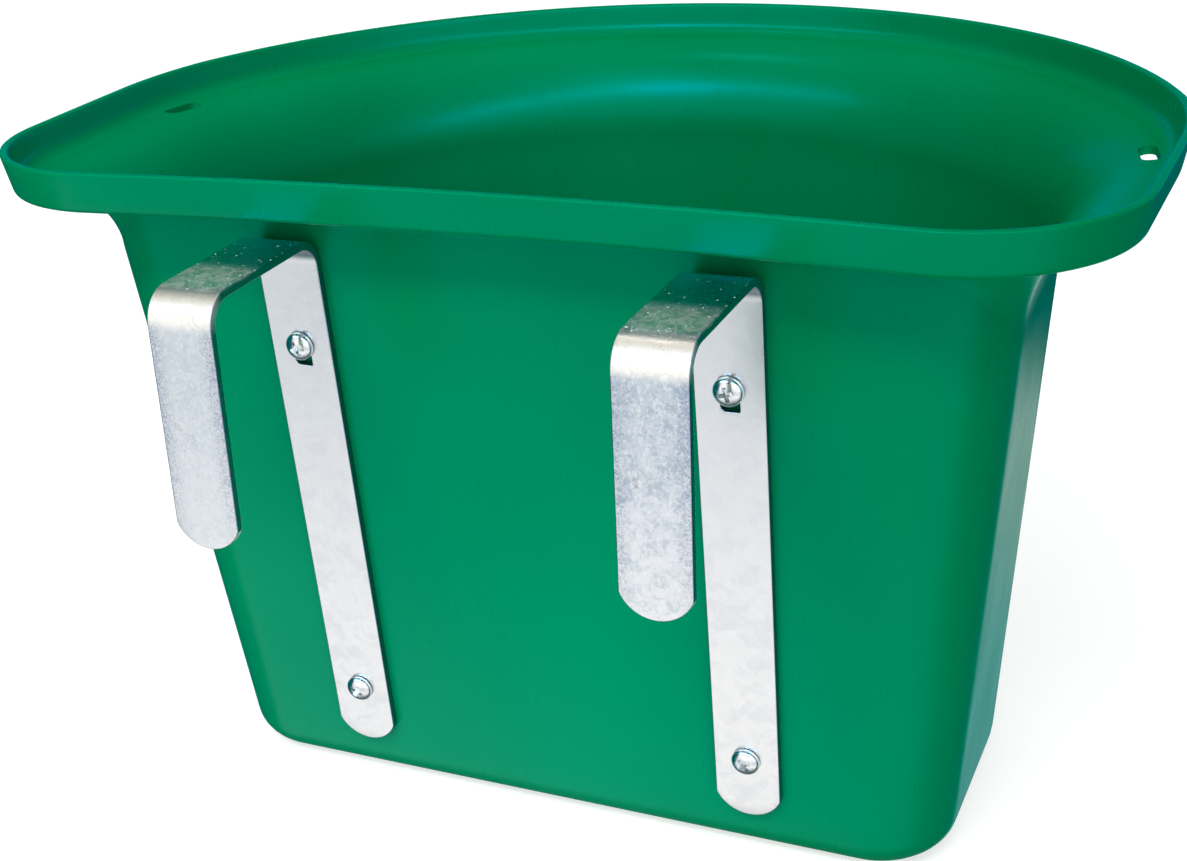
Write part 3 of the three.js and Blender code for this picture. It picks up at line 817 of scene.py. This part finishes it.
def plastic_material():
    """Satin moulded polypropylene: faint colour drift, painted bounce light that makes it lighter low down
    and on the left, painted shade towards the right, a fine moulded grain and light rubbing.
    """
    nodes = new_material("green_polypropylene")
    across, height = nodes.along("X"), nodes.along("Z")
    drift = nodes.remap(nodes.noise(9, 2), 0.3, 0.7, 0, 0.3)
    # Painted bounce light: lower makes the green lighter towards the floor and towards the left; drift adds
    # a random tone with the same lighter green.
    lower = nodes.product(nodes.remap(height, 0.0, 0.26, 0.7, 0), nodes.remap(across, 0.0, 0.14, 1, 0.3))
    colour = nodes.mix(nodes.math("ADD", drift, lower), GREEN["plain"], GREEN["low"])
    # Painted shade: the green darkens towards the right end.
    colour = nodes.mix(nodes.remap(across, 0.06, 0.20, 0, 0.35), colour, GREEN["right"])
    rubbed = nodes.noise(60, 4, 0.6, nodes.stretched((1, 1, 0.35)))
    roughness = nodes.remap(rubbed, 0.3, 0.75, 0.27, 0.31)
    grain = nodes.bump(nodes.noise(2600, 2), 0.00004, 0.08)
    waves = nodes.bump(nodes.noise(34, 2), 0.0004, 0.12, grain)
    nodes.set(Base_Color=colour, Roughness=roughness, Normal=waves, IOR=1.46,
              Specular_Tint=GREEN["highlight"])
    return nodes.owner


def near_leg(nodes, start, end):
    """1 on the leg's outer face, falling to 0 between two distances behind that face."""
    return nodes.remap(nodes.along("Y"), LEG_FACE + start, LEG_FACE + end, 1, 0)


def off_strap_middle(nodes):
    """Distance from the middle line of the strap, on either hook."""
    from_centre = nodes.math("ABSOLUTE", nodes.along("X"))
    return nodes.math("ABSOLUTE", nodes.math("SUBTRACT", from_centre, HOOK["spacing"] / 2 * MM))


def leg_colour(nodes, zinc, leg, blotch, fine):
    """Stains with painted shade high up, pale grain and dark long edges, all stronger high up and on the
    right hook.
    """
    across, height = nodes.along("X"), nodes.along("Z")
    grain = nodes.noise(1250, 4, 0.7)
    # Painted shade: upper darkens and blues the leg high up, mixed in with the stains.
    upper = nodes.product(nodes.remap(height, 0.165, 0.226, 0, 1), leg)
    edge = nodes.product(nodes.remap(off_strap_middle(nodes), 0.0055, 0.0118, 0.05, 1),
                         nodes.remap(height, 0.150, 0.195, 0.45, 1))
    zinc = nodes.mix(nodes.product(leg, 0.8), zinc, ZINC["leg"])
    stain_and_painted_shade = nodes.math("ADD", nodes.remap(blotch, 0.46, 0.60, 0, 0.5), nodes.product(upper, 0.65))
    # Stains and painted shade are weaker on the left hook.
    stronger_to_right = nodes.product(leg, nodes.remap(across, -0.05, 0.05, 0.45, 1))
    zinc = nodes.mix(nodes.product(stain_and_painted_shade, stronger_to_right), zinc, ZINC["stain_and_painted_shade"])
    bright = nodes.product(nodes.remap(fine, 0.48, 0.64, 0.0, 0.6), leg)
    zinc = nodes.mix(bright, zinc, ZINC["bright"])
    dark = nodes.product(nodes.remap(grain, 0.44, 0.62, 0.1, 0.75), nodes.product(edge, leg))
    return nodes.mix(dark, zinc, ZINC["dark"])


def bend_colour(nodes, zinc):
    """A painted warm highlight round the outer bend, with a darker band of painted reflection where the
    bend begins.
    """
    outward, height = nodes.along("Y"), nodes.along("Z")
    # Painted highlight on the outer bend.
    painted_bend_highlight = nodes.product(nodes.remap(height, *BEND_HEIGHTS, 0, 0.9), near_leg(nodes, 0.007, 0.012))
    zinc = nodes.mix(painted_bend_highlight, zinc, ZINC["bend"])
    # Painted reflection: a darker band where the bend begins.
    across_band = nodes.band(
        outward, (LEG_FACE + 0.006, LEG_FACE + 0.009), (LEG_FACE + 0.009, LEG_FACE + 0.012))
    band = nodes.product(nodes.remap(height, *BEND_HEIGHTS, 0, 0.6), across_band)
    return nodes.mix(band, zinc, ZINC["band"]), painted_bend_highlight


def run_colour(nodes, zinc, blotch):
    """The run: a painted tan reflection, named film, and scuffs on its outer part, a painted blue
    reflection towards the tub, and pale flecks.
    """
    on_top = nodes.remap(nodes.along("Z"), (HOOK["top"] - 1.2) * MM, (HOOK["top"] - 0.3) * MM, 0, 1)
    outer = nodes.product(on_top, near_leg(nodes, 0.029, 0.038))
    inner = nodes.math("SUBTRACT", on_top, outer)
    # Painted reflection: the run is bluer towards the tub.
    zinc = nodes.mix(nodes.product(inner, 0.8), zinc, ZINC["run_reflection_blue"])
    # Painted reflection: the tan film stands in for what the run mirrors, mottled by the blotch noise.
    film = nodes.product(outer, nodes.remap(blotch, 0.40, 0.60, 0.04, 0.24))
    zinc = nodes.mix(film, zinc, ZINC["film"])
    scuffs = nodes.product(nodes.lines(nodes.noise(110, 3, 0.6, warp=2.0), 0.006, 0.7), outer)
    flecks = nodes.math("MAXIMUM", scuffs, nodes.product(nodes.dots(480, 0.20, 0.45), on_top))
    return nodes.mix(flecks, zinc, ZINC["fleck"]), film, flecks


def cut_steel_and_shade_colour(nodes, zinc):
    """Dark cut steel and painted shade: the bar's long edges, and all that lies behind its outer face on
    the wall, including the slots' sides under the screw heads.
    """
    outward, height = nodes.along("Y"), nodes.along("Z")
    face = (PLAN_SHIFT + BASE_PLAN["back"] - (SEAT_GAP + HOOK["thickness"]) / math.cos(DRAFT)) * MM
    behind_face = nodes.math("SUBTRACT", outward, face)
    behind_face = nodes.math("ADD", behind_face, nodes.product(height, math.tan(DRAFT)))
    # Painted shade, with darker cut steel: behind the outer face below the bend, and along both long edges.
    cut = nodes.product(nodes.remap(behind_face, 0.00002, 0.00015, 0, 1),
                        nodes.remap(height, 0.225, 0.235, 1, 0))
    cut = nodes.math("MAXIMUM", cut, nodes.remap(off_strap_middle(nodes), 0.0120, 0.0124, 0, 0.8))
    return nodes.mix(cut, zinc, ZINC["cut"])


def strap_material():
    """Zinc plate: smooth on the wall with painted reflection and shade by height, grained on the leg, a
    painted warm highlight at the bend and a painted tan reflection, named film, on the run.
    """
    nodes = new_material("zinc_plated_strap")
    leg = near_leg(nodes, 0.008, 0.05)
    broad = nodes.noise(62, 3, 0.55, warp=0.4)
    blotch = nodes.noise(240, 6, 0.72, warp=0.7)
    fine = nodes.noise(820, 4, 0.66, nodes.stretched((1, 1, 0.7)), warp=0.5)
    # Painted reflection and shade: the zinc is lighter low down, where it mirrors the pale floor, and
    # darker and bluer high up under the rim.
    zinc = nodes.mix(nodes.remap(nodes.along("Z"), 0.06, 0.225, 0, 1), ZINC["foot"], ZINC["top"])
    cloud = nodes.remap(nodes.noise(110, 4, 0.6, warp=0.6), 0.46, 0.62, 0, 0.4)
    zinc = nodes.mix(cloud, zinc, ZINC["cloud"])
    zinc = leg_colour(nodes, zinc, leg, blotch, fine)
    zinc, painted_bend_highlight = bend_colour(nodes, zinc)
    hairline = nodes.product(nodes.lines(nodes.noise(80, 2, 0.5, warp=1.6), 0.006, 1), leg)
    scratch = nodes.product(hairline, nodes.remap(nodes.noise(95, 1), 0.54, 0.62, 0, 0.6))
    zinc = nodes.mix(scratch, zinc, ZINC["scratch"])
    zinc, film, flecks = run_colour(nodes, zinc, blotch)
    zinc = cut_steel_and_shade_colour(nodes, zinc)
    rough = nodes.remap(blotch, 0.3, 0.7, 0.34, 0.26)
    rough = nodes.math("ADD", rough, nodes.product(scratch, 0.25))
    # The painted bend highlight, the painted film reflection and the flecks are less metallic.
    matt = nodes.math("MAXIMUM", nodes.product(flecks, 0.8), nodes.product(painted_bend_highlight, 0.55))
    metal = nodes.math("SUBTRACT", 1, nodes.math("MAXIMUM", film, matt))
    relief = nodes.bump(fine, 0.00003, 0.12)
    relief = nodes.bump(broad, 0.0003, 0.2, relief)
    nodes.set(Base_Color=zinc, Roughness=rough, Normal=relief, Metallic=metal)
    return nodes.owner


def fastener_material():
    nodes = new_material("bright_zinc_fastener")
    film = nodes.noise(420, 3, 0.55)
    colour = nodes.mix(nodes.remap(film, 0.35, 0.65, 0, 1), (0.70, 0.72, 0.74), (0.86, 0.865, 0.86))
    rough = nodes.remap(nodes.noise(900, 3), 0.3, 0.7, 0.14, 0.26)
    nodes.set(Base_Color=colour, Roughness=rough, Normal=nodes.bump(film, 0.00003, 0.4), Metallic=1.0)
    return nodes.owner


def nylon_material():
    nodes = new_material("natural_nylon")
    cloud = nodes.noise(500, 3)
    colour = nodes.mix(nodes.remap(cloud, 0.3, 0.7, 0, 1), (0.70, 0.72, 0.66), (0.78, 0.79, 0.75))
    nodes.set(Base_Color=colour, Roughness=nodes.remap(cloud, 0.3, 0.7, 0.38, 0.5),
              Normal=nodes.bump(cloud, 0.00003, 0.4))
    return nodes.owner


# Assembly

def place_piece(name, mesh, material, turn=None):
    """Adds a finished piece in the part's frame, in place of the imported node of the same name."""
    if turn is not None:
        mesh.transform(turn)
    mesh.transform(Matrix.Diagonal((MM, MM, MM, 1)) @ Matrix.Translation((0, PLAN_SHIFT, 0)))
    shade(mesh)
    mesh.materials.clear()
    mesh.materials.append(material)
    piece = new_object(name + "_piece", mesh)
    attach(piece, "root")
    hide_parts(name)
    return piece


def build_feeder():
    plastic, zinc = plastic_material(), strap_material()
    bright, nylon = fastener_material(), nylon_material()
    place_piece("tub", build_tub(), plastic)
    place_piece("hook_strap_left", build_strap(-1), zinc)
    place_piece("hook_strap_right", build_strap(1), zinc)
    kinds = [
        ("screw", build_screw(), bright, "zinc_fastener", HEAD_SEAT),
        ("washer", build_washer(), bright, "zinc_fastener", WASHER_SEAT),
        ("lock_nut", build_nut(), bright, "zinc_fastener", NUT_SEAT),
        ("nylon_insert", build_insert(), nylon, "nylon", NUT_SEAT),
    ]
    for label, side, drop, spin in STATIONS:
        for kind, mesh, material, slot, seat in kinds:
            turn = to_wall(screw_place(side, drop)) @ Matrix.Translation((0, seat, 0))
            if kind == "screw":
                turn = turn @ Matrix.Rotation(spin, 4, "Y")
            place_piece(f"{kind}_{label}", mesh.copy(), material, turn)


# Camera and studio

CAMERA_PLACE = (264.78, -620.67, 430.48)
CAMERA_YAW = 0.45791
CAMERA_PITCH = -0.46092
CAMERA_ROLL = 0.07625
CAMERA_FOCAL = 1798.62
CAMERA_CENTRE = (538.33, 512.46)
CAMERA_CLIP_START = 0.01
PHOTO_SIZE = (1187, 861)
SENSOR = 36

FLOOR_HALF = 9
BACKDROP = dict(sides=48, radius=8.5, height=6)

# What the surfaces mirror, by the height of the direction, from straight down (-1) to straight up (1)
FRONT_STOPS = [
    (-1.0, (0.15, 0.18, 0.18)), (-0.86, (0.60, 0.62, 0.62)), (-0.70, (1.24, 1.23, 1.22)),
    (-0.46, (1.00, 1.01, 1.03)), (-0.32, (0.86, 0.89, 0.94)), (-0.275, (0.78, 0.82, 0.88)),
    (-0.23, (0.96, 0.97, 0.99)), (-0.16, (1.22, 1.20, 1.17)), (0.08, (1.40, 1.37, 1.32)),
    (0.40, (1.30, 1.26, 1.18)), (0.62, (0.40, 0.42, 0.42)), (1.0, (0.28, 0.28, 0.25)),
]
BACK_STOPS = [
    (-1.0, (0.10, 0.14, 0.14)), (-0.6, (0.0, 0.12, 0.16)), (-0.30, (0.0, 0.06, 0.14)),
    (-0.10, (0.0, 0.36, 0.74)), (0.15, (0.0, 0.42, 0.86)), (0.30, (0.0, 0.14, 0.13)),
    (0.60, (0.04, 0.14, 0.10)), (1.0, (0.28, 0.28, 0.25)),
]
FRONT_LEFT = (1.05, 1.08, 1.11)
FAR_LEFT = (0.0, 0.10, 0.12)
LOW_TEAL = (0.18, 0.72, 0.84)
LOW_PALE = (1.30, 1.26, 1.16)

WHITE = (1, 1, 1)
LEVEL = (1, 0, 0)
SLOPE = (0.99, 0, -0.13)
TUB_MIDDLE = (0, 0, 0.12)
FAR_FLARE = (0, 0.13, 0.236)
LIGHTS = [
    dict(name="key", place=(-0.1, -1.6, 2.2), target=TUB_MIDDLE, along=LEVEL, size=(1.5, 0.5),
         power=40, colour=WHITE, seen_by="diffuse"),
    dict(name="top", place=(0.2, 0.3, 3.5), target=(0.2, 0.3, 0), along=LEVEL, size=(7, 7),
         power=172, colour=WHITE, seen_by="diffuse"),
    dict(name="window", place=(-0.18, -1.05, 1.11), target=FAR_FLARE, along=SLOPE, size=(0.40, 0.20),
         power=3.4, colour=(0.2, 0.4, 1.0), seen_by="glossy"),
    dict(name="strip", place=(-0.02, -1.05, 1.105), target=FAR_FLARE, along=SLOPE, size=(3.4, 0.20),
         power=18, colour=(0.4, 0.72, 1.0), seen_by="glossy"),
    dict(name="glint", place=(-0.53, 0.07, 1.65), target=(0.012, 0.148, 0.248), along=LEVEL,
         size=(0.16, 0.10), power=0.8, colour=WHITE, seen_by="glossy"),
]
BLACK_LEVEL = (0.009, 0, 0)


def build_camera():
    data = bpy.data.cameras.new("camera")
    data.sensor_width = SENSOR
    data.lens = CAMERA_FOCAL / PHOTO_SIZE[0] * SENSOR
    data.shift_x = (PHOTO_SIZE[0] / 2 - CAMERA_CENTRE[0]) / PHOTO_SIZE[0]
    data.shift_y = (CAMERA_CENTRE[1] - PHOTO_SIZE[1] / 2) / PHOTO_SIZE[0]
    data.clip_start = CAMERA_CLIP_START
    camera = new_object("camera", data)
    turn = (Matrix.Rotation(CAMERA_YAW, 4, "Z") @ Matrix.Rotation(CAMERA_PITCH, 4, "X")
            @ Matrix.Rotation(CAMERA_ROLL, 4, "Y"))
    upright = Matrix.Rotation(math.pi / 2, 4, "X")
    camera.matrix_world = Matrix.Translation(Vector(CAMERA_PLACE) * MM) @ turn @ upright
    bpy.context.scene.camera = camera


def soft_light(name, place, target, along, size, power, colour, seen_by):
    """An area light with its long side along a given way, for either diffuse or glossy light."""
    data = bpy.data.lights.new(name, "AREA")
    data.shape = "RECTANGLE"
    data.size, data.size_y = size
    data.energy = power
    data.color = colour
    long_side = Vector(along).normalized()
    away = Vector(place) - Vector(target)
    away = (away - long_side * away.dot(long_side)).normalized()
    turn = Matrix((long_side, away.cross(long_side), away)).transposed().to_4x4()
    light = new_object(name, data)
    light.matrix_world = Matrix.Translation(place) @ turn
    light.visible_diffuse = seen_by == "diffuse"
    light.visible_glossy = seen_by == "glossy"


def build_floor():
    half = FLOOR_HALF
    mesh = mesh_from("floor", [(-half, -half, 0), (half, -half, 0), (half, half, 0), (-half, half, 0)],
                     [[0, 1, 2, 3]])
    nodes = new_material("pale_floor")
    nodes.set(Base_Color=(0.45, 0.447, 0.45), Roughness=0.9, Specular_IOR_Level=0.1,
              Emission_Color=(1.0, 0.99, 0.99), Emission_Strength=0.66)
    mesh.materials.append(nodes.owner)
    floor = new_object("floor", mesh)
    floor.visible_glossy = False


def build_backdrop():
    """A pale round wall on the floor, for low views. It lights nothing and nothing mirrors it."""
    sides, radius, height = BACKDROP["sides"], BACKDROP["radius"], BACKDROP["height"]
    turns = [2 * math.pi * k / sides for k in range(sides)]
    verts = [(radius * math.cos(turn), radius * math.sin(turn), z) for z in (0, height) for turn in turns]
    faces = []
    for k in range(sides):
        after = (k + 1) % sides
        faces.append([k, after, sides + after, sides + k])
    mesh = mesh_from("backdrop", verts, faces)
    nodes = new_material("pale_backdrop")
    nodes.set(Base_Color=(0.0, 0.0, 0.0), Roughness=1.0, Specular_IOR_Level=0.0,
              Emission_Color=(1.0, 1.0, 1.0), Emission_Strength=0.88)
    mesh.materials.append(nodes.owner)
    backdrop = new_object("backdrop", mesh)
    backdrop.visible_diffuse = backdrop.visible_glossy = backdrop.visible_shadow = False


def build_world():
    """A soft front, a dim back with a blue band, a dark far left, and a pale and teal patch low behind."""
    world = bpy.data.worlds.new("studio")
    bpy.context.scene.world = world
    nodes = Nodes(world, "Generated")
    sideways, backward, upward = (nodes.along(axis) for axis in "XYZ")
    front, back = nodes.ramp(upward, FRONT_STOPS), nodes.ramp(upward, BACK_STOPS)
    front = nodes.mix(nodes.remap(sideways, -0.56, -0.42, 0.4, 0), front, FRONT_LEFT)
    colour = nodes.mix(nodes.remap(backward, -0.55, -0.05, 0, 1), front, back)
    colour = nodes.mix(nodes.remap(sideways, -0.78, -0.64, 1, 0), colour, FAR_LEFT)
    low = nodes.product(nodes.remap(upward, -0.42, -0.375, 1, 0), nodes.remap(backward, 0.60, 0.74, 0, 1))
    teal = nodes.band(sideways, (0.0, 0.05), (0.20, 0.27))
    colour = nodes.mix(nodes.product(low, teal), colour, LOW_TEAL)
    pale = nodes.band(sideways, (0.0, 0.05), (0.09, 0.16))
    pale = nodes.product(pale, nodes.remap(upward, -0.55, -0.43, 0.25, 1))
    colour = nodes.mix(nodes.product(low, pale), colour, LOW_PALE)
    background = nodes.tree.nodes["Background"]
    nodes.link(colour, background.inputs["Color"])
    background.inputs["Strength"].default_value = 1.0


def build_studio():
    build_floor()
    build_backdrop()
    build_world()
    for light in LIGHTS:
        soft_light(**light)
    view = bpy.context.scene.view_settings
    view.view_transform = "Standard"
    view.use_curve_mapping = True
    view.curve_mapping.black_level = BLACK_LEVEL
    view.curve_mapping.update()


build_camera()
build_studio()
build_feeder()

bpy.context.view_layer.update()
